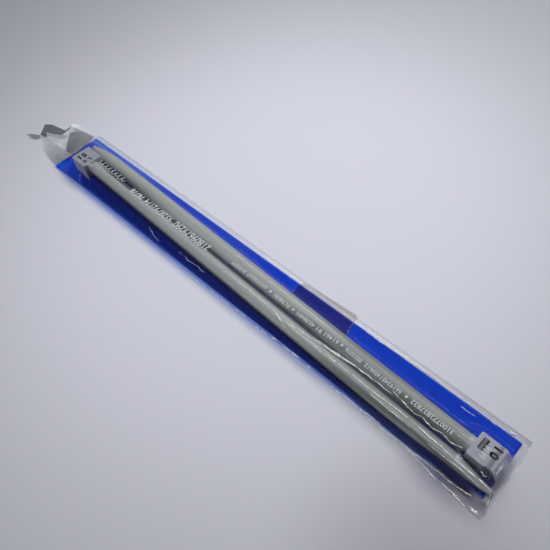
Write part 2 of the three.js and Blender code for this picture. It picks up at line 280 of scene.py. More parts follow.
FOLD_LINES = (
    (-7.6, -9.0, 36.8, -10.4, 0.5, 0.16),
    (36.8, -10.4, 44.2, -12.2, 0.2, 0.2),
    (44.2, -12.2, 66.1, -9.8, 0.4, 0.2),
    (66.1, -9.8, 93.1, -8.0, 0.3, 0.16),
    (36.8, -10.4, 49.3, -14.2, 0.3, 0.12),
    (64.7, -11.8, 92.9, -12.2, 0.4, 0.1),
    (82.9, -12.5, 140.5, -12.8, 0.5, 0.2),
    (140.5, -12.8, 167.6, -15.0, 0.3, 0.24),
    (113.5, -14.9, 140.9, -15.8, 0.3, 0.14),
    (167.6, -15.0, 189.5, -15.2, 0.2, 0.24),
    (152.0, -17.0, 185.0, -17.2, 0.3, 0.12),
    (66.0, -8.8, 92.0, -7.9, 0.3, 0.2),
    (79.2, -8.2, 104.0, -6.9, 0.6, 0.2),
    (92.0, -7.2, 122.2, -7.3, 0.6, 0.17),
    (122.0, -5.6, 133.5, -7.4, 0.3, 0.16),
    (126.0, -6.4, 138.0, -8.6, 0.5, 0.18),
    (138.0, -8.6, 142.5, -7.4, 0.2, 0.18),
    (142.5, -7.4, 149.5, -9.0, 0.3, 0.2),
    (149.5, -9.0, 155.5, -8.0, 0.4, 0.18),
    (155.5, -8.0, 161.0, -9.3, 0.3, 0.18),
    (161.0, -9.3, 167.6, -7.9, 0.3, 0.17),
    (186.6, -3.5, 187.6, -8.2, 0.4, 0.16),
    (187.4, -2.0, 187.9, -6.5, 0.5, 0.18),
    (184.0, -7.4, 187.2, -8.9, 0.4, 0.16),
    (58.0, 20.4, 70.0, 20.6, 0.3, 0.1),
    (72.0, 20.3, 84.0, 20.5, 0.3, 0.14),
    (34.0, 20.2, 40.0, 20.3, 0.2, 0.1),
    (92.0, 20.9, 112.0, 20.8, 0.3, 0.1),
    (-30.5, -21.4, -17.0, -21.6, 0.2, 0.12),
    (-14.0, -20.9, 8.0, -21.2, 0.2, 0.14),
    (10.0, -20.9, 21.0, -20.6, 0.2, 0.18),
    (-46.2, -15.8, -20.6, -16.3, 1.0, 0.08),
    (-79.0, -14.8, -64.0, -18.7, 0.6, 0.08),
    (30.7, -21.5, 38.9, -21.0, 0.3, 0.26),
    (42.8, -20.7, 47.7, -20.4, 0.2, 0.26),
    (51.8, -20.7, 66.1, -20.3, 0.3, 0.28),
    (70.3, -20.6, 75.1, -20.7, 0.2, 0.26),
    (90.7, -21.6, 125.7, -20.9, 0.5, 0.2),
    (110.6, -22.9, 153.6, -22.4, 0.5, 0.2),
    (139.9, -21.6, 155.2, -24.0, 0.4, 0.24),
    (155.2, -24.0, 166.1, -26.2, 0.3, 0.26),
    (168.6, -25.3, 184.6, -27.6, 0.4, 0.24),
    (149.4, -22.0, 175.8, -22.8, 0.5, 0.18),
    (175.8, -22.8, 184.3, -22.2, 0.2, 0.18),
    (186.6, -26.0, 190.2, -27.2, 0.3, 0.34),
    (187.4, -27.3, 190.0, -26.3, 0.2, 0.34),
    (189.4, -25.6, 191.6, -26.9, 0.2, 0.26),
    (190.4, -15.9, 192.6, -20.2, 0.3, 0.2),
    (84.0, 19.8, 127.1, 20.2, 0.7, 0.16),
    (114.3, 21.6, 137.3, 21.3, 0.3, 0.22),
    (153.1, 16.3, 162.7, 16.3, 0.5, 0.14),
    (160.5, -1.6, 168.0, -1.9, 0.12, 0.08),
    (160.8, -3.5, 168.0, -3.8, 0.12, 0.08),
    (146.0, 20.9, 163.0, 20.6, 0.3, 0.12),
    (170.5, 19.6, 173.0, 19.3, 0.1, 0.12),
    (181.0, 20.6, 184.4, 22.6, 0.2, 0.26),
    (180.3, 21.9, 185.4, 21.8, 0.3, 0.24),
    (180.9, -11.9, 182.3, -12.0, 0.1, 0.2),
    (182.3, -12.0, 183.2, -12.8, 0.1, 0.16),
    (183.4, -12.6, 184.6, -11.9, 0.1, 0.16),
)

# The curled lip of the mouth: upper edge, lower edge, bulge, haze at four corners, painted darkness

LIP_COLUMNS, LIP_ROWS = 36, 10
LIP_FLAPS = {
    "near_flap": (
        ((-221.0, -9.0, 4.5), (-213.6, -8.2, 6.0), (-198.8, -6.6, 5.5), (-184.2, -4.8, 4.0)),
        ((-219.9, -11.7, 0.5), (-209.7, -15.8, 0.5), (-197.1, -18.8, 0.5), (-189.4, -18.6, 0.5)),
        (0, 0.6, 1.2), (0.1, 0.85, 0.0, 0.5), 0.78),
    "far_flap": (
        ((-204.6, 7.6, 6.5), (-200.2, 15.4, 5.0), (-191.9, 19.8, 1.0)),
        ((-195.0, -4.8, 2.5), (-187.3, -3.4, 2.0), (-188.9, 9.7, 1.2)),
        (0, 0, 0.8), (0.95, 0.8, 1.0, 0.6), 0.9),
    "rim": (
        ((-227.8, -7.6, 2.0), (-226.6, -0.3, 9.0), (-221.5, 3.1, 9.0), (-208.8, 6.6, 7.5),
         (-211.2, 13.8, 6.0)),
        ((-222.4, -5.0, 1.5), (-222.9, -3.2, 5.0), (-217.0, -1.4, 5.0), (-209.1, 2.6, 5.5),
         (-210.0, 11.1, 5.5)),
        (0, 0, 0), (0.95, 0.9, 0.95, 0.8), 0.97),
    "wisp": (
        ((-236.6, -14.7, 3.0), (-232.3, -11.4, 3.2), (-227.2, -7.8, 2.5)),
        ((-236.0, -14.6, 2.6), (-228.8, -12.4, 0.8), (-226.1, -8.6, 1.5)),
        (0, 0, 0), (0.7, 0.9, 0.7, 0.7), 0.9),
    # A pale flap: painted highlight.
    "bright_flap": (
        ((-215.3, 16.6, 4.5), (-212.4, 19.9, 2.5), (-204.9, 21.0, 1.0), (-191.8, 20.8, 0.5)),
        ((-211.2, 13.8, 6.0), (-208.4, 14.4, 5.8), (-201.1, 16.0, 4.8), (-192.2, 19.8, 1.0)),
        (0, 0, 0.4), (0.5, 0.5, 0.8, 0.3), 0.05),
}

# The print: rows of plain numbers, with start x, y, end x, y, height and squeeze of each, and dots

PRINT_WORDS = (
    (-111.0, -2.3, -97.5, -2.5, 4.0, 0.7),
    (-95.0, -2.6, -66.5, -3.0, 4.8, 0.66),
    (-63.0, -3.0, -28.5, -3.3, 5.4, 0.64),
    (-9.0, -1.0, 3.0, -0.8, 2.2, 0.8),
    (5.0, -0.8, 22.0, -0.8, 2.3, 0.8),
    (28.5, -1.5, 42.0, -1.9, 2.5, 0.8),
    (48.0, -2.2, 62.0, -2.5, 2.5, 0.85),
    (64.0, -2.6, 68.0, -2.6, 2.5, 0.85),
    (70.0, -2.4, 80.0, -1.9, 2.5, 0.85),
    (86.0, -2.0, 98.0, -2.7, 2.5, 0.8),
    (100.5, -2.8, 126.0, -3.6, 2.4, 0.85),
    (133.0, -3.6, 160.0, -4.2, 2.7, 0.85),
    (177.6, 0.9, 177.6, -6.8, 3.4, 0.62),
)
PRINT_DOTS = ((25.5, -1.4), (45.0, -2.1), (82.8, -1.8), (129.5, -3.6))
DOT_RADIUS = 0.9
DIGIT_PITCH = 0.92
DIGIT_HEIGHT = 0.7
DIGIT_LIFT, DOT_LIFT, SCRIPT_LIFT = 0.05, 0.07, 0.1

# Marks on each cap, from its end face and axis. A figure has its place and size, a bar of the dark
# box or a pale stroke its middle, length and width

MARK_LIFT, MARK_THICKNESS = 0.03, 0.04
CAP_MARKS = {
    "needle_a": {
        "figures": ((5.4, -4.1, 6.4), (5.9, -0.1, 6.4)),
        "box": ((11.5, -3.6, 3.0, 2.1), (11.0, 0.2, 0.9, 2.4), (12.6, 1.0, 2.9, 0.9)),
        "strokes": ((11.5, -3.6, 1.3, 0.4),),
    },
    "needle_b": {
        "figures": ((4.7, -4.6, 6.4), (4.6, -0.4, 6.4)),
        "box": ((11.7, -2.05, 3.3, 7.0),),
        "strokes": [(11.9, -4.8 + 1.1 * i, 1.7, 0.36) for i in range(6)],
    },
}


def needle_turn(needle):
    """The angle from the pack's +X to the needle's."""
    yaw = bpy.context.scene.needle_settings.yaw
    return -yaw if needle["towards"] > 0 else math.pi - yaw


def needle_matrix(needle):
    """From a needle's own frame, which runs along +X from its cap's end face, to the pack's."""
    x, y = needle["end"]
    fall = Matrix.Rotation(bpy.context.scene.needle_settings.pitch, 4, "Y")
    lie = Matrix.Rotation(needle_turn(needle), 4, "Z") @ fall
    return Matrix.Translation(Vector((x, y, END_HEIGHT)) * MM) @ lie


def from_needle(needle, x, y):
    """How far places are along the needle from its cap's end face, and how far to its side."""
    turn = needle_turn(needle)
    dx, dy = x - needle["end"][0], y - needle["end"][1]
    along = dx * math.cos(turn) + dy * math.sin(turn)
    return along, np.abs(dy * math.cos(turn) - dx * math.sin(turn))


def smoothstep(t):
    t = np.clip(t, 0, 1)
    return t * t * (3 - 2 * t)


def past(value, start, soft):
    """0 up to the start, then a soft rise to 1."""
    return smoothstep((value - start) / soft)


def short_of(value, end, soft):
    """1, then a soft fall to 0 at the end."""
    return smoothstep((end - value) / soft)


def between(value, start, rise, end, fall):
    return past(value, start, rise) * short_of(value, end, fall)


def near_foot(x):
    """Where the near weld ends and the film begins to rise."""
    return NEAR_FOOT - FLARE * past(x, SEAL_X - FLARE_LENGTH, FLARE_LENGTH)


def sheet_top(x, y):
    """Height of the sheet's top face: its edges are pulled up a little by the sleeve."""
    rise = bpy.context.scene.sheet_settings.bow / MM
    near = np.clip((-y - 9) / 11, 0, 1) ** 2 * rise
    far = np.clip((y - 12) / 8, 0, 1) ** 2 * rise * 0.1
    return SHEET_TOP + (near + far) * short_of(np.abs(x), 187, 30)


def round_top(off, radius, middle):
    """Heights of a round edge and of a tent of film over it, this far to the side of its middle."""
    top = np.where(off < radius, middle + np.sqrt(np.maximum(radius * radius - off * off, 0)), FAR_BELOW)
    slope = middle + (radius + TENT_GAP) / math.cos(TENT_LEAN) - math.tan(TENT_LEAN) * off
    return top, np.where(off < radius * math.sin(TENT_LEAN), top, slope)


class Drape:
    """Height of the front film, and its milkiness with painted shade and painted light, on a grid of stations
    along the pack.
    """

    def __init__(self, columns, rows, seed):
        self.x = np.linspace(MOUTH_X, SEAL_X, columns + 1)
        near = near_foot(self.x)[:, None] - SIDE_WELD
        self.y = near + (FAR_EDGE - near) * np.linspace(0, 1, rows + 1)
        self.z = self.settle(seed)

    def shaft(self, needle, x, y):
        sizes = bpy.context.scene.needle_settings
        length, radius, taper, nose = (v / MM for v in (sizes.length, sizes.radius, sizes.taper, sizes.nose))
        along, across = from_needle(needle, x, y)
        t = np.clip((along - (length - taper)) / (taper - nose), 0, 1)
        past_ends = np.maximum(along - (length - nose), 0) + np.maximum(-along, 0)
        middle = END_HEIGHT - np.clip(along, 0, length) * math.sin(sizes.pitch)
        return round_top(np.hypot(across, past_ends), radius - (radius - nose) * t ** TAPER_EASE, middle)

    def cap(self, needle, x, y):
        sizes = bpy.context.scene.cap_settings
        half, length, edge = sizes.width / 2 / MM, sizes.length / MM, sizes.edge / MM
        along, across = from_needle(needle, x, y)
        past_ends = np.maximum(np.maximum(along - (length - edge), edge - along), 0)
        off = np.hypot(np.maximum(across - (half - edge), 0), past_ends)
        return round_top(off, edge, END_HEIGHT + sizes.height / 2 / MM - edge)

    def settle(self, seed):
        """Stretch the film over all that it covers, let it sink, then crumple it a little."""
        x, y = np.repeat(self.x[:, None], self.y.shape[1], 1), self.y
        on_sheet = (np.abs(x) < ON_SHEET_X) & (np.abs(y) < ON_SHEET_Y)
        solid = np.where(on_sheet, sheet_top(x, y) + FILM_GAP, FILM_REST)
        tents = solid
        for needle in NEEDLES.values():
            for top, tent in (self.shaft(needle, x, y), self.cap(needle, x, y)):
                solid = np.maximum(solid, top + FILM_GAP)
                tents = np.maximum(tents, tent + FILM_GAP)
        inside = np.minimum(y - near_foot(x), FAR_FOOT - y)
        inside = np.clip(np.minimum(inside, SEAL_FOOT_X - x), 0, None)
        highest = FILM_REST + FILM_CLIMB * inside
        film = np.minimum(self.bridge(np.maximum(tents, solid)), highest)
        for _ in range(SETTLING_STEPS):
            sunk = film.copy()
            beside = film[1:-1, :-2] + film[1:-1, 2:]
            sunk[1:-1, 1:-1] = 0.34 * (film[:-2, 1:-1] + film[2:, 1:-1]) + 0.16 * beside
            sunk[0] = sunk[1]
            film = np.minimum(np.maximum(sunk, solid), highest)
        film = np.maximum(film + self.folds(x, y, film - solid, inside, seed), solid)
        return np.where(inside <= 0, FILM_REST, film)

    def bridge(self, film):
        """Taut lines span the hollow between the needles and the near side down to the weld."""
        film = film.copy()
        far_end = self.axis_y(NEEDLE_B)[:, 0] + 3
        for i, x in enumerate(self.x):
            if not BRIDGED_X[0] < x < BRIDGED_X[1]:
                continue
            y, z = self.y[i], film[i]
            rows = np.nonzero((y >= near_foot(x)) & (y <= far_end[i]))[0]
            hull = []
            for j in rows:
                while len(hull) > 1:
                    a, b = hull[-2:]
                    straight = z[a] + (z[j] - z[a]) * (y[b] - y[a]) / (y[j] - y[a])
                    if z[b] > straight:
                        break
                    hull.pop()
                hull.append(j)
            z[rows] = np.interp(y[rows], y[hull], z[hull])
        return film

    def folds(self, x, y, slack, inside, seed):
        """Small folds: more of them where the film is slack, none on the welds."""
        chance = random.Random(seed)
        rise = np.zeros(x.shape)
        loose = np.clip(slack / 1.5, 0.1, 1) * np.clip(inside / 2, 0, 1)
        for _ in range(SMALL_FOLDS):
            cx, far_side = chance.uniform(-190, 190), chance.random() < 0.2
            cy = chance.uniform(13, 22) if far_side else chance.uniform(-25, -6)
            turn = chance.gauss(0.0, 0.35) + (0.25 if far_side else -0.25)
            length, width = chance.uniform(6, 22), chance.uniform(0.7, 1.5)
            u = ((x - cx) * math.cos(turn) + (y - cy) * math.sin(turn)) / length
            v = ((y - cy) * math.cos(turn) - (x - cx) * math.sin(turn)) / width
            rise += chance.uniform(0.08, 0.32) * np.exp(-v * v - 4 * u * u)
        waves = 0.03 * np.sin(x / 3.1 + y * 0.9) * np.sin(x / 7.3 - y * 0.5)
        return (rise + waves) * loose

    def axis_y(self, needle):
        yaw = bpy.context.scene.needle_settings.yaw
        return (needle["end"][1] - math.tan(yaw) * (self.x - needle["end"][0]))[:, None]

    def milky_parts(self):
        """Where the film is milky, or carries painted shade, painted light or painted reflection: how much at
        each point, and the colour.

        Each part lies between two places across the pack and two along it, with soft edges."""
        x, y = self.x[:, None], self.y
        foot, axis_a, axis_b = near_foot(x), self.axis_y(NEEDLE_A), self.axis_y(NEEDLE_B)

        # Painted blue glow on the film along the near weld, paler outside and deeper blue towards the sheet.
        near_weld = (y < foot + 0.8) * between(x, -190, 50, 178, 50)
        yield 0.72 * near_weld, (0.62, 0.7, 0.97)
        weld_share = np.clip((y - foot + SIDE_WELD) / SIDE_WELD, 0, 1)
        yield 0.75 * near_weld * weld_share ** 1.5, (0.15, 0.26, 0.74)
        # Painted shade along the sheet's near edge, stronger towards the right end.
        rim = -19.8 - 0.7 * past(x, 0, 80) - 1.3 * past(x, 80, 70)
        sheet_edge = between(y, rim, 0.8, -18.4, 0.8) * between(x, -60, 60, 187, 4)
        yield (0.72 + 0.2 * past(x, 90, 30)) * sheet_edge, (0.006, 0.014, 0.11)
        # Painted shade on the near margin towards the right end.
        near_margin = short_of(y, -22.2, 1) * between(x, 135, 25, 182, 14)
        yield 0.4 * near_margin, (0.16, 0.165, 0.26)

        # Painted reflection: a paler blue band beside needle B on the far side, up to about x 90.
        width = 1.8 + 1.2 * past(x, -160, 160)
        far_band = np.clip(1.3 - np.abs(y - axis_b - 5.8 - width / 2) / width * 1.6, 0, 1)
        yield 0.2 * far_band * short_of(x, 90, 40), (0.42, 0.5, 0.85)
        yield 0.13 * (y > axis_b + 3) * short_of(x, -85, 60), (0.35, 0.5, 0.85)
        yield 0.05 * past(y, 14, 1) * short_of(x, 30, 60), (0.25, 0.45, 0.85)
        # Painted light: brighter blue on the near strip at the mouth, beyond the needles' shade.
        mouth_corner = short_of(y, -7, 2) * (y > foot) * short_of(x, -172, 10)
        yield 0.2 * mouth_corner, (0.02, 0.18, 0.85)
        # Painted shade over the label, which lies under the sheet.
        over_label = between(x, 31 - 0.13 * (y - 7), 0.6, 77.6 - 0.26 * (y - 7), 0.6)
        yield 0.42 * over_label * (y > 8) * (y < 19.4), (0.014, 0.002, 0.17)

        over_needles = between(y, axis_a - 5, 1, axis_b + 5.5, 1)
        yield 0.06 * over_needles * short_of(x, -50, 70), (0.08, 0.09, 0.13)
        # Painted shade on the near strip beside needle A.
        beside_a = between(y, foot + 0.6, 2.5, axis_a - 4.6, 1)
        yield 0.42 * beside_a * past(x, -160, 8), (0.006, 0.002, 0.03)
        down = -11.2 - y
        cap_side = between(x - 2.7 * down, -171.5, 1, -155.5, 1) * between(down, -0.3, 1, 3.4, 0.6)
        yield 0.35 * cap_side, (0.3, 0.31, 0.4)
        # Painted shade in the hollow between the needles.
        hollow = between(y, axis_b - 9.8, 1, axis_b - 4.6, 1.2) * between(x, -160, 20, 170.5, 1.5)
        yield 0.35 * hollow, (0.03, 0.032, 0.04)
        # Painted shade over the needles in the right half.
        right_half = between(y, axis_a - 5.2, 1, axis_b + 5.4, 1) * between(x, 40, 60, 169, 2)
        yield 0.16 * right_half, (0.05, 0.05, 0.05)
        # Painted shade over needle B's far crown.
        far_side_b = between(y, axis_b + 0.6, 1, axis_b + 4.2, 1.5) * between(x, -80, 60, 150, 40)
        yield 0.13 * far_side_b, (0.1, 0.1, 0.11)
        # Painted shade on the sheet just beyond needle B towards the right end.
        beyond_b = between(y, axis_b + 4.4, 1, axis_b + 10.5, 3) * between(x, 110, 40, 169, 1)
        yield 0.22 * beyond_b, (0.01, 0.02, 0.1)
        far_line = short_of(np.abs(y - 23.8), 0.8, 0.5)
        yield 0.2 * far_line, (0.36, 0.37, 0.43)
        # Painted shade on needle A's near flank towards the right end.
        flank_a = between(y, foot + 3, 1, axis_a - 1.8, 1.5) * between(x, 60, 90, 187, 5)
        yield 0.28 * flank_a, (0.03, 0.03, 0.05)
        # Painted light on needle A's crown.
        crown_a = between(y, axis_a - 5.5, 1.5, axis_a + 1.5, 2) * between(x, -110, 60, 80, 60)
        yield 0.1 * crown_a, (0.75, 0.78, 0.8)

        # A pale haze over the hollow beside needle B: partly the film's milkiness, partly painted sheen.
        haze_and_painted_light = 0.13 + 0.1 * short_of(np.abs(x), 90, 90) - 0.1 * past(x, 100, 50)
        haze_and_painted_light = haze_and_painted_light * past(y, axis_b - 8.4, 1.4) + 0.05 * past(y, axis_b - 13, 2) * short_of(x, 150, 50)
        haze_and_painted_light = haze_and_painted_light * short_of(y, axis_b - 0.5, 3) * short_of(x, 190, 25)
        haze_and_painted_light = haze_and_painted_light * (1 - 0.35 * between(x, -60, 30, 80, 30))
        yield haze_and_painted_light * past(x, -130, 70), (0.8, 0.82, 0.85)
        # Painted shade on needle B's near flank.
        near_side_b = between(y, axis_b - 9.8, 1, axis_b - 1.2, 2.4) * between(x, 30, 40, 150, 20)
        yield 0.3 * near_side_b, (0.04, 0.042, 0.05)
        # Painted shade along the seam between the needles.
        off_seam = np.abs(y - (axis_a + axis_b) / 2 + 1.8 + 2 * short_of(x, -60, 50))
        yield 0.5 * short_of(off_seam, 1.6, 0.9) * between(x, -150, 20, 70, 30), (0.03, 0.032, 0.05)

        # Painted shade beside cap B, by needle A's point.
        beside_cap_b = between(y, -14, 1, -8.6, 1) * between(x, 179, 3, 190, 1)
        yield 0.6 * beside_cap_b, (0.045, 0.047, 0.08)
        # Painted light: paler film at the near right corner.
        near_corner = short_of(y, -19, 2) * past(x, 180, 7)
        yield 0.55 * near_corner, (0.36, 0.36, 0.42)
        over_cap_b = between(y, -10.5, 1.5, 7, 1.5)
        # A band of painted shade across cap B.
        yield 0.35 * over_cap_b * between(x, 181.4, 0.6, 184.6, 0.6), (0.12, 0.12, 0.16)
        yield 0.75 * over_cap_b * between(x, 184.8, 1.2, 190.5, 1.2), (0.36, 0.36, 0.42)
        yield 0.1 * past(x, 189, 1.5), (0.4, 0.39, 0.45)
        far_weld = past(y, 20.4, 1)
        yield 0.1 * far_weld * short_of(x, 150, 60), (0.8, 0.8, 0.85)
        yield 0.16 * far_weld * past(x, 100, 60), (0.3, 0.3, 0.35)

    def veil(self):
        """The milky parts, painted shade and painted light laid over each other."""
        veil, tint = np.zeros(self.y.shape), np.ones((*self.y.shape, 4))
        for amount, colour in self.milky_parts():
            total = 1 - (1 - veil) * (1 - amount)
            share = (amount / np.maximum(total, 1e-6))[..., None]
            tint = tint * (1 - share) + np.array((*colour, 1)) * share
            veil = total
        return veil, tint

    def height(self, x, y):
        """Film height over one place, in millimetres."""
        cell = (min(max(x, MOUTH_X), SEAL_X) - MOUTH_X) / (SEAL_X - MOUTH_X) * (len(self.x) - 1)
        i = min(int(cell), len(self.x) - 2)
        first, second = (float(np.interp(y, self.y[k], self.z[k])) for k in (i, i + 1))
        return first + (second - first) * (cell - i)


@functools.cache
def drape():
    """The film's shape, kept until the sleeve is built again."""
    sizes = bpy.context.scene.sleeve_settings
    return Drape(sizes.columns, sizes.rows, sizes.fold_seed)


# Making pieces


def make_piece(name, bm, material, body, replaced=(), smooth=True):
    """A finished mesh piece at the origin that rides on a body."""
    if not bm.faces:
        raise RuntimeError(f"{name} has no faces")
    mesh = bpy.data.meshes.new(name)
    bm.to_mesh(mesh)
    bm.free()
    mesh.materials.append(material)
    mesh.polygons.foreach_set("use_smooth", [smooth] * len(mesh.polygons))
    piece = bpy.data.objects.new(name, mesh)
    bpy.context.scene.collection.objects.link(piece)
    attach(piece, body)
    if replaced:
        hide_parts(*replaced)
    return piece


def new_grid(columns, rows):
    """A flat grid, one unit long and wide, centred on the origin."""
    bm = bmesh.new()
    bmesh.ops.create_grid(bm, x_segments=columns, y_segments=rows, size=0.5)
    return bm


def bevel(bm, geom, offset, segments, affect="EDGES"):
    bmesh.ops.bevel(bm, geom=geom, offset=offset, segments=segments, profile=0.5, affect=affect, material=-1)


def store(piece, name, values, kind="FLOAT", key="value"):
    """One value for each point of a piece's mesh."""
    piece.data.attributes.new(name, kind, "POINT").data.foreach_set(key, values)


def new_line_curve(name, capped=False):
    curve = bpy.data.curves.new(name, "CURVE")
    curve.dimensions, curve.bevel_depth, curve.bevel_resolution = "3D", 1.0, 1
    curve.use_fill_caps = capped
    return curve


def add_line(curve, places):
    """A line through places, which give x, y, height and half the width in millimetres."""
    spline = curve.splines.new("POLY")
    spline.points.add(len(places) - 1)
    for point, (x, y, z, half) in zip(spline.points, places):
        point.co = (x * MM, y * MM, z * MM, 1)
        point.radius = half * MM


def mesh_of(context, curve):
    """The mesh of a curve or text, as a bmesh; the curve itself goes."""
    holder = bpy.data.objects.new("holder", curve)
    context.scene.collection.objects.link(holder)
    context.view_layer.update()
    mesh = bpy.data.meshes.new_from_object(holder.evaluated_get(context.evaluated_depsgraph_get()))
    bpy.data.objects.remove(holder)
    bm = bmesh.new()
    bm.from_mesh(mesh)
    bpy.data.meshes.remove(mesh)
    return bm


def digits_mesh(context, text, size, bold):
    """Plain digits centred on the origin, reading along +X."""
    curve = bpy.data.curves.new("digits", "FONT")
    curve.body, curve.size, curve.align_x, curve.align_y = text, size, "CENTER", "CENTER"
    curve.offset, curve.extrude, curve.resolution_u = bold * size, 0.004 * size, 3
    return mesh_of(context, curve)


def add_part(bm, part):
    """Adds one bmesh to another."""
    mesh = bpy.data.meshes.new("part")
    part.to_mesh(mesh)
    part.free()
    bm.from_mesh(mesh)
    bpy.data.meshes.remove(mesh)


def path_point(points, t, straight):
    """A point on a path through a few points, smooth unless it is straight."""
    t = t * (len(points) - 1)
    i = min(int(t), len(points) - 2)
    t -= i
    p = [Vector(points[min(max(k, 0), len(points) - 1)]) for k in (i - 1, i, i + 1, i + 2)]
    if straight:
        return p[1].lerp(p[2], t)
    near = p[1] * 2 + (p[2] - p[0]) * t + (p[0] * 2 - p[1] * 5 + p[2] * 4 - p[3]) * t * t
    return (near + (p[1] * 3 - p[0] - p[2] * 3 + p[3]) * t ** 3) * 0.5


def thicken(piece, thickness):
    shell = piece.modifiers.new("thickness", "SOLIDIFY")
    shell.thickness, shell.offset = thickness, -1.0


# Finishes


def new_finish(name):
    return Finish(bpy.data.materials.new(name))


def darker(colour, share):
    return tuple(c * share for c in colour)


def coated_metal():
    colour = tuple(bpy.context.scene.needle_settings.coating)
    f = new_finish("satin_coating")
    cloud = f.noise(90.0, (0.15, 1, 1))
    grain = f.noise(2600.0, (0.25, 1, 1), 2.0)
    return f.surface(f.plain(
        Base_Color=f.mix(cloud, darker(colour, 0.86), colour),
        Roughness=0.48 + cloud * 0.06 + grain * 0.04,
        Metallic=0.15,
        Normal=f.bump(grain, 0.12, 0.00012),
    ))


def cap_plastic():
    colour = tuple(bpy.context.scene.cap_settings.plastic)
    f = new_finish("cap_plastic")
    cloud = f.noise(240.0)
    grain = f.noise(3400.0, detail=2.0)
    return f.surface(f.plain(
        Base_Color=f.mix(cloud, darker(colour, 0.88), colour),
        Roughness=0.38 + cloud * 0.12,
        Normal=f.bump(grain, 0.15, 0.0001),
    ))


def flat_ink(name, colour):
    f = new_finish(name)
    wear = f.noise(1500.0)
    return f.surface(f.plain(
        Base_Color=f.mix(wear, darker(colour, 0.8), colour),
        Roughness=0.45 + wear * 0.1,
        Specular_IOR_Level=0.06,
    ))


def tinted_sheet():
    """Stiff blue plastic that lets some tinted light through."""
    blue = tuple(bpy.context.scene.sheet_settings.blue)
    f = new_finish("blue_sheet")
    cloud = f.noise(55.0, (0.3, 1, 1))
    body = f.plain(
        Base_Color=f.mix(cloud, darker(blue, 0.85), blue),
        Roughness=0.2 + cloud * 0.04,
        Specular_IOR_Level=0.3,
        Normal=f.bump(f.noise(900.0), 0.02, 0.0002),
    )
    return f.see_through(0.32, (0.011, 0.38, 0.97), body)


def clear_film():
    """Thin clear film that mirrors more at a low angle. The veil is its milky part together with painted
    shade, painted light and a painted blue glow: grey, dark or blue.
    """
    colour = tuple(bpy.context.scene.sleeve_settings.film)
    f = new_finish("sleeve_film")
    veil, tint = f.attribute("veil"), f.attribute("tint", "Color")
    wrinkle = f.noise(150.0, (0.35, 1, 1))
    normal = f.bump(wrinkle, 0.06, 0.001)
    facing = f.node("ShaderNodeLayerWeight", Blend=0.12, Normal=normal, output="Fresnel")
    # The veil's strength: the film's haze together with painted shade and painted light.
    haze_and_painted_light = (veil * (0.75 + wrinkle * 0.5)).clamp()
    veiled = (veil * 6).clamp()
    gloss = f.plain(
        Base_Color=f.mix(veiled, colour, tint),
        Roughness=0.1 + haze_and_painted_light * 0.5,
        Metallic=0.85 - veiled * 0.85,
        Specular_IOR_Level=0.2,
        Normal=normal,
    )
    return f.see_through((0.006 + facing * 0.32 + haze_and_painted_light).clamp(), (0.985, 0.985, 0.99), gloss)


def label_paper():
    """Speckled paper; the part under the sheet is painted dark, as painted shade."""
    f = new_finish("label_paper")
    under_sheet = f.axis("Y") < 0.0195
    speckle = f.noise(1300.0)
    paper = f.mix(speckle, (0.24, 0.23, 0.25), (0.56, 0.55, 0.58))
    return f.surface(f.plain(
        # Painted shade where the label lies under the sheet.
        Base_Color=f.mix(under_sheet, paper, (0.1, 0.09, 0.11)),
        Roughness=0.7 + speckle * 0.15,
    ))


def crease_film():
    """Sharp folds, drawn whitened, with painted glints here and there along their length."""
    f = new_finish("film_crease")
    # Painted glints: the noise picks where a fold shows bright white.
    glint = f.noise(260.0, (1, 0.4, 0.4), 2.0)
    share = ((glint - 0.32) * 6).clamp() * 0.85 + 0.12
    white = f.plain(Base_Color=(0.97, 0.97, 0.98), Roughness=0.25 + glint * 0.1)
    return f.see_through(share, (0.98, 0.98, 0.99), white)


def lip_film():
    """The curled lip, seen edge on in several layers, looks grey; the grey is partly painted shade and
    painted dark reflection.
    """
    f = new_finish("lip_film")
    cloud = f.noise(130.0)
    grey = f.plain(
        # Painted shade and painted dark reflection: each flap's shade sets how far it goes from pale film to
        # dark grey.
        Base_Color=f.mix(f.attribute("shade"), (0.82, 0.83, 0.88), (0.075, 0.078, 0.098)),
        Roughness=0.35 + cloud * 0.15,
        Normal=f.bump(cloud, 0.2, 0.001),
    )
    return f.see_through(f.attribute("haze"), (0.98, 0.98, 0.99), grey)


def floor_patch(f, x, y, half_length, half_width):
    """1 in the middle of an oval patch of floor, softly down to 0 at its rim."""
    across, away = (f.axis("X") - x) / half_length, (f.axis("Y") - y) / half_width
    return (1 - (across * across + away * away)).clamp() ** 2


def floor_board():
    """Pale board, painted darker far off as a painted pool of light. A painted blue glow and painted shadows
    of the pack lie on it.
    """
    f = new_finish("floor_board")
    x, y = f.axis("X"), f.axis("Y")
    across, away = x + 0.02, y - 0.05
    # Painted pool of light: paler near the pack, darker far off.
    near = 1 / ((across * across + away * away) ** 2 * 300 + 1)
    shade = f.mix(near, (0.33, 0.335, 0.37), tuple(bpy.context.scene.stage_settings.floor))
    # Painted blue glow in front of the pack's near edge.
    in_front = y + 0.027
    glow = (in_front / 0.005).clamp() * (in_front < 0.012) * (3.2 - (x + 0.047) ** 2 * 160).clamp()
    shade = f.mix(glow * 0.6, shade, (0.27, 0.34, 0.57))
    # Painted shadows of the pack: a soft one to the right and a darker one by the near right corner.
    shade = f.mix(floor_patch(f, 0.19, -0.07, 0.0902, 0.0902) * 0.42, shade, (0.2, 0.2, 0.22))
    shade = f.mix(floor_patch(f, 0.172, -0.027, 0.0357, 0.0125) * 0.6, shade, (0.19, 0.187, 0.25))
    return f.surface(f.plain(Base_Color=shade, Roughness=0.85))


# Operators, one for each piece or group of like pieces


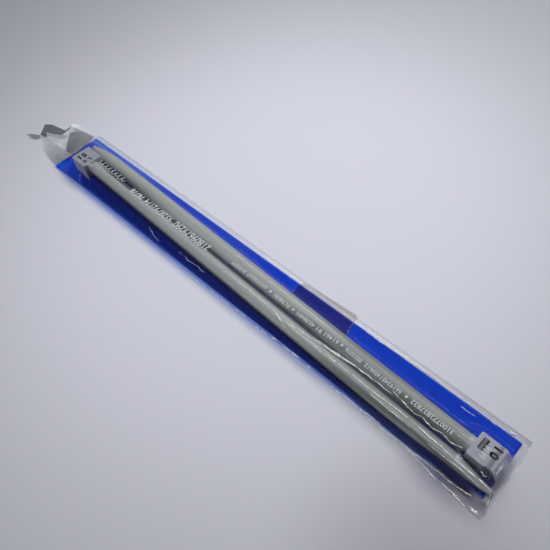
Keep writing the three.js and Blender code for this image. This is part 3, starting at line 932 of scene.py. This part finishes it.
class PACK_OT_stage(bpy.types.Operator):
    """Add the floor, the lamps, the sky and the camera"""

    bl_idname = "pack.stage"
    bl_label = "Stage"

    def execute(self, context):
        scene, settings = context.scene, context.scene.stage_settings
        bm = bmesh.new()
        bmesh.ops.create_grid(bm, x_segments=1, y_segments=1, size=FLOOR_HALF_SIZE)
        mesh = bpy.data.meshes.new("floor")
        bm.to_mesh(mesh)
        bm.free()
        mesh.materials.append(floor_board())
        floor = bpy.data.objects.new("floor", mesh)
        scene.collection.objects.link(floor)

        for name, place, target, size, share in LAMPS:
            self.lamp(scene, name, place, target, size, settings.lamp_power * share)
        self.sky(scene)

        camera = bpy.data.cameras.new("camera")
        camera.lens, camera.sensor_width, camera.clip_start = settings.lens, 36.0, 0.01
        view = bpy.data.objects.new("camera", camera)
        scene.collection.objects.link(view)
        view.location = CAMERA_PLACE
        view.rotation_euler = CAMERA_TURN
        scene.camera = view
        scene.view_settings.view_transform = "Standard"
        scene.cycles.transparent_max_bounces = 32
        return {"FINISHED"}

    def lamp(self, scene, name, place, target, size, power):
        data = bpy.data.lights.new(name, "AREA")
        data.shape, data.size, data.size_y, data.energy = "RECTANGLE", *size, power
        lamp = bpy.data.objects.new(name, data)
        scene.collection.objects.link(lamp)
        lamp.location = place
        lamp.rotation_euler = (Vector(target) - Vector(place)).to_track_quat("-Z", "Y").to_euler()

    def sky(self, scene):
        """A pale tent that is darker towards its top, and brighter where gloss mirrors it."""
        scene.world = bpy.data.worlds.new("tent")
        f = Finish(scene.world, "Generated")
        tone = f.node("ShaderNodeValToRGB", {"stops": (
            (0.0, (0.7, 0.71, 0.76)),
            (0.5, (0.62, 0.63, 0.68)),
            (0.68, (0.14, 0.145, 0.16)),
            (1.0, (0.1, 0.1, 0.12)),
        )}, Fac=f.axis("Z"))
        glossy = f.node("ShaderNodeLightPath", output="Is Glossy Ray")
        back = f.node("ShaderNodeBackground", Color=tone, Strength=0.4 + glossy * 0.4)
        f.node("ShaderNodeOutputWorld", Surface=back)


class PACK_OT_shafts(bpy.types.Operator):
    """Spin the two tubes with their swaged points"""

    bl_idname = "pack.shafts"
    bl_label = "Needle shafts"

    def execute(self, context):
        sizes = context.scene.needle_settings
        radius, nose, coating = sizes.radius, sizes.nose, coated_metal()
        start, chamfer = 3.9 * MM, 0.2 * MM
        taper_start, nose_start = sizes.length - sizes.taper, sizes.length - nose
        profile = [(start, 0.0), (start, radius - chamfer), (start + chamfer, radius)]
        profile += [(start + (taper_start - start) * i / 24, radius) for i in range(1, 24)]
        for i in range(21):
            share = i / 20
            swaged = radius - (radius - nose) * share ** TAPER_EASE
            profile.append((taper_start + (nose_start - taper_start) * share, swaged))
        for i in range(1, 8):
            turn = i / 8 * math.pi / 2
            profile.append((nose_start + nose * math.sin(turn), nose * math.cos(turn)))
        profile.append((nose_start + nose, 0.0))
        for name, needle in NEEDLES.items():
            bm = bmesh.new()
            verts = [bm.verts.new((along, 0, r)) for along, r in profile]
            line = verts + [bm.edges.new(pair) for pair in zip(verts, verts[1:])]
            bmesh.ops.spin(
                bm, geom=line, axis=(1, 0, 0), cent=(0, 0, 0), steps=72, angle=2 * math.pi, use_merge=True,
            )
            bmesh.ops.remove_doubles(bm, verts=bm.verts, dist=1e-6)
            bmesh.ops.recalc_face_normals(bm, faces=bm.faces)
            bmesh.ops.transform(bm, matrix=needle_matrix(needle), verts=bm.verts)
            make_piece(f"{name}_tube", bm, coating, name, (f"{name}_shaft",))
        return {"FINISHED"}


class PACK_OT_caps(bpy.types.Operator):
    """Mould the two block caps and print their sizes"""

    bl_idname = "pack.caps"
    bl_label = "Needle caps"

    def execute(self, context):
        sizes = context.scene.cap_settings
        plastic, ink = cap_plastic(), flat_ink("cap_ink", tuple(sizes.ink))
        pale = flat_ink("cap_pale_ink", (0.55, 0.55, 0.61))
        texts = {"needle_a": sizes.gauge_text, "needle_b": sizes.size_text}
        for name, needle in NEEDLES.items():
            if len(texts[name]) != 2:
                raise ValueError("each cap has room for two figures")
            lie = needle_matrix(needle)
            bm = bmesh.new()
            bmesh.ops.create_cube(bm, size=1.0)
            bmesh.ops.scale(bm, vec=(sizes.length, sizes.width, sizes.height), verts=bm.verts)
            upright = [e for e in bm.edges if abs(e.verts[0].co.z - e.verts[1].co.z) > MM]
            bevel(bm, upright, CAP_CORNER * MM, 5)
            sharp = [e for e in bm.edges if e.is_manifold and e.calc_face_angle(0) > 0.9]
            bevel(bm, sharp, sizes.edge * 0.8, 4)
            bmesh.ops.translate(bm, vec=(sizes.length / 2, 0, 0), verts=bm.verts)
            bmesh.ops.transform(bm, matrix=lie, verts=bm.verts)
            make_piece(f"{name}_block", bm, plastic, name, (f"{name}_cap",))
            self.print_marks(context, name, lie, texts[name], ink, pale)
        return {"FINISHED"}

    def print_marks(self, context, name, lie, text, ink, pale):
        """The size in figures, and a small dark box with pale strokes."""
        marks = CAP_MARKS[name]
        lift = MARK_LIFT * MM
        top = context.scene.cap_settings.height / 2 + lift
        digits = bmesh.new()
        for figure, (along, across, size) in zip(text, marks["figures"]):
            part = digits_mesh(context, figure, size * MM, 0.055)
            turn = Matrix.Translation((along * MM, across * MM, top)) @ Matrix.Rotation(math.pi / 2, 4, "Z")
            bmesh.ops.transform(part, matrix=lie @ turn, verts=part.verts)
            add_part(digits, part)
        make_piece(f"{name}_size", digits, ink, name, smooth=False)
        for kind, z, finish in (("box", top, ink), ("strokes", top + lift, pale)):
            bm = bmesh.new()
            for x, y, long, wide in marks[kind]:
                made = bmesh.ops.create_cube(bm, size=1.0)["verts"]
                bmesh.ops.scale(bm, vec=Vector((long, wide, MARK_THICKNESS)) * MM, verts=made)
                bmesh.ops.translate(bm, vec=(x * MM, y * MM, z), verts=made)
            bmesh.ops.transform(bm, matrix=lie, verts=bm.verts)
            make_piece(f"{name}_unit_{kind}", bm, finish, name, smooth=False)


class PACK_OT_sheet(bpy.types.Operator):
    """Bow the stiff blue sheet and give the label its paper"""

    bl_idname = "pack.sheet"
    bl_label = "Sheet and label"

    def execute(self, context):
        sizes = context.scene.sheet_settings
        bm = new_grid(190, 40)
        for v in bm.verts:
            flat = v.co.x * sizes.length, v.co.y * sizes.width
            x, y = self.rounded(*flat, sizes.length / 2, sizes.width / 2)
            v.co = (x, y, float(sheet_top(x / MM, y / MM)) * MM)
        piece = make_piece("blue_sheet", bm, tinted_sheet(), "sheet", ("backing_sheet",))
        thicken(piece, sizes.thickness)
        bm = bmesh.new()
        corners = [bm.verts.new(Vector((x, y, LABEL_HEIGHT)) * MM) for x, y in LABEL_CORNERS]
        bm.faces.new(corners)
        bevel(bm, corners, LABEL_CORNER_RADIUS * MM, 6, "VERTICES")
        paper = label_paper()
        label = make_piece("paper_label", bm, paper, "sleeve", ("rear_label",), smooth=False)
        thicken(label, LABEL_THICKNESS * MM)
        return {"FINISHED"}

    def rounded(self, x, y, half_length, half_width):
        """Moves a place in a corner square into the round corner. The near right one is worn rounder."""
        radius = (WORN_CORNER if x > 0 > y else SHEET_CORNER) * MM
        p, q = (abs(x) - half_length) / radius + 1, (abs(y) - half_width) / radius + 1
        if p <= 0 or q <= 0:
            return x, y
        a, b = radius * (p * math.sqrt(1 - q * q / 2) - 1), radius * (q * math.sqrt(1 - p * p / 2) - 1)
        return math.copysign(half_length + a, x), math.copysign(half_width + b, y)


class PACK_OT_sleeve(bpy.types.Operator):
    """Drape the front film over the needles and lay the back film under them"""

    bl_idname = "pack.sleeve"
    bl_label = "Sleeve films"

    def execute(self, context):
        sizes = context.scene.sleeve_settings
        drape.cache_clear()
        film, front_shape = clear_film(), drape()
        bm = new_grid(sizes.columns, sizes.rows)
        for v in bm.verts:
            i, j = round((v.co.x + 0.5) * sizes.columns), round((v.co.y + 0.5) * sizes.rows)
            x, y = front_shape.x[i], front_shape.y[i, j]
            end_wave = 2.3 + 0.6 * math.sin(y * 0.33 + 0.4) + 0.3 * math.sin(y * 1.1)
            v.co = Vector((x - end_wave * float(past(x, 189, 6.5)), y, front_shape.z[i, j])) * MM
        front = make_piece("front_film", bm, film, "sleeve", ("sleeve_front",))
        veil, tint = front_shape.veil()
        store(front, "veil", veil.ravel("F"))
        store(front, "tint", tint.transpose(1, 0, 2).ravel(), "FLOAT_COLOR", "color")
        bm = new_grid(130, 12)
        for v in bm.verts:
            share = v.co.y + 0.5
            mouth = MOUTH_X - 22 * math.sin(math.pi * share ** 1.6 * 0.9) ** 0.7
            x = mouth + (v.co.x + 0.5) * (SEAL_X - 2 - mouth)
            near = float(near_foot(x)) - SIDE_WELD
            v.co = Vector((x, near + (FAR_EDGE - near) * share, BACK_HEIGHT)) * MM
        make_piece("back_film", bm, film, "sleeve", ("sleeve_back",))
        return {"FINISHED"}


class PACK_OT_lip(bpy.types.Operator):
    """Curl the lip of the sleeve's mouth"""

    bl_idname = "pack.lip"
    bl_label = "Mouth lip"

    def execute(self, context):
        material = lip_film()
        s, t = np.meshgrid(np.linspace(0, 1, LIP_COLUMNS + 1), np.linspace(0, 1, LIP_ROWS + 1))
        for name, (upper, lower, bulge, haze, shade) in LIP_FLAPS.items():
            bm = new_grid(LIP_COLUMNS, LIP_ROWS)
            for v in bm.verts:
                along, down = v.co.x + 0.5, v.co.y + 0.5
                top, low = (path_point(edge, along, name == "rim") for edge in (upper, lower))
                v.co = (top.lerp(low, down) + Vector(bulge) * 4 * down * (1 - down)) * MM
            piece = make_piece(name, bm, material, "sleeve")
            at_top, at_foot = (haze[k] * (1 - s) + haze[k + 1] * s for k in (0, 2))
            store(piece, "haze", (at_top * (1 - t) + at_foot * t).ravel())
            store(piece, "shade", [shade] * s.size)
        return {"FINISHED"}


class PACK_OT_folds(bpy.types.Operator):
    """Lay sharp folds along the film"""

    bl_idname = "pack.folds"
    bl_label = "Folds"

    def execute(self, context):
        film, chance = drape(), random.Random(3)
        curve = new_line_curve("folds", capped=True)
        for x0, y0, x1, y1, stray, half in FOLD_LINES:
            steps = max(4, round(math.hypot(x1 - x0, y1 - y0) / 0.8))
            bends = [chance.uniform(-1, 1) for _ in range(6)]
            places = []
            for k in range(steps + 1):
                t = k / steps
                swell = math.sin(math.pi * t) ** 0.5
                phase = math.pi * t * (1 + steps / 40)
                wave = sum(b * math.sin(phase * m) / m ** 0.7 for m, b in enumerate(bends, 1))
                x, y = x0 + (x1 - x0) * t, y0 + (y1 - y0) * t + stray * 0.6 * wave * swell
                thick = 1.5 * half * (0.35 + 0.65 * swell) * chance.uniform(0.4, 1.3)
                places.append((x, y, film.height(x, y) + thick * 0.5, thick))
            add_line(curve, places)
        make_piece("film_folds", mesh_of(context, curve), crease_film(), "sleeve")
        return {"FINISHED"}


class PACK_OT_print(bpy.types.Operator):
    """Print plain numbers on the front film"""

    bl_idname = "pack.print"
    bl_label = "Print"

    def execute(self, context):
        film, chance = drape(), random.Random(11)
        ink = flat_ink("film_ink", (0.55, 0.57, 0.59))
        bm = bmesh.new()
        for x0, y0, x1, y1, tall, squeeze in PRINT_WORDS:
            long = math.hypot(x1 - x0, y1 - y0)
            count = round(long / (tall * squeeze * DIGIT_PITCH))
            text = "".join(str(chance.randrange(10)) for _ in range(count))
            word = digits_mesh(context, text, tall / DIGIT_HEIGHT, 0.035 if 3 <= tall <= 4 else 0.02)
            wide = max(v.co.x for v in word.verts) - min(v.co.x for v in word.verts)
            for v in word.verts:
                along, up, out = v.co.x / wide, v.co.y / long, v.co.z
                x = (x0 + x1) / 2 - along * (x1 - x0) + up * (y1 - y0)
                y = (y0 + y1) / 2 - along * (y1 - y0) - up * (x1 - x0)
                v.co = Vector((x, y, film.height(x, y) + DIGIT_LIFT + out)) * MM
            add_part(bm, word)
        for x, y in PRINT_DOTS:
            made = bmesh.ops.create_circle(bm, cap_ends=True, segments=20, radius=DOT_RADIUS * MM)["verts"]
            bmesh.ops.translate(bm, vec=Vector((x, y, film.height(x, y) + DOT_LIFT)) * MM, verts=made)
        make_piece("film_print", bm, ink, "sleeve", smooth=False)
        make_piece("film_script", self.script(context, film), ink, "sleeve")
        return {"FINISHED"}

    def script(self, context, film):
        """A meaningless wave of eight loops in place of a handwritten word."""
        steps, loops, long, half = 200, 8, 31, 0.27
        places = []
        for k in range(steps + 1):
            t = k / steps
            turn = t * 2 * math.pi * loops
            x = -153.3 + long * t + 0.9 * math.sin(turn + 1)
            y = 0.9 - 0.8 * t + (1.9 - 0.5 * math.cos(turn * 0.37)) * math.sin(turn)
            places.append((x, y, film.height(x, y) + SCRIPT_LIFT, half))
        curve = new_line_curve("script")
        add_line(curve, places)
        return mesh_of(context, curve)


class PACK_PT_panel(bpy.types.Panel):
    """Lists the steps that build the pack"""

    bl_label = "Needle pack"
    bl_idname = "PACK_PT_panel"
    bl_space_type = "VIEW_3D"
    bl_region_type = "UI"
    bl_category = "Needle pack"

    def draw(self, context):
        for step in STEPS:
            self.layout.operator(step.bl_idname)
        for group in GROUPS:
            settings = getattr(context.scene, group)
            for key in settings.__annotations__:
                self.layout.prop(settings, key)


STEPS = (
    PACK_OT_stage, PACK_OT_shafts, PACK_OT_caps, PACK_OT_sheet, PACK_OT_sleeve, PACK_OT_lip, PACK_OT_folds,
    PACK_OT_print,
)
GROUPS = {
    "needle_settings": NeedleSettings,
    "cap_settings": CapSettings,
    "sheet_settings": SheetSettings,
    "sleeve_settings": SleeveSettings,
    "stage_settings": StageSettings,
}


def register():
    for group in GROUPS.values():
        bpy.utils.register_class(group)
    for step in (*STEPS, PACK_PT_panel):
        bpy.utils.register_class(step)
    for name, group in GROUPS.items():
        setattr(bpy.types.Scene, name, PointerProperty(type=group))


def unregister():
    for name in GROUPS:
        delattr(bpy.types.Scene, name)
    for step in (PACK_PT_panel, *reversed(STEPS)):
        bpy.utils.unregister_class(step)
    for group in GROUPS.values():
        bpy.utils.unregister_class(group)


def main():
    register()
    bpy.ops.pack.stage()
    bpy.ops.pack.shafts()
    bpy.ops.pack.caps()
    bpy.ops.pack.sheet()
    bpy.ops.pack.sleeve()
    bpy.ops.pack.lip()
    bpy.ops.pack.folds()
    bpy.ops.pack.print()


if __name__ == "__main__":
    main()
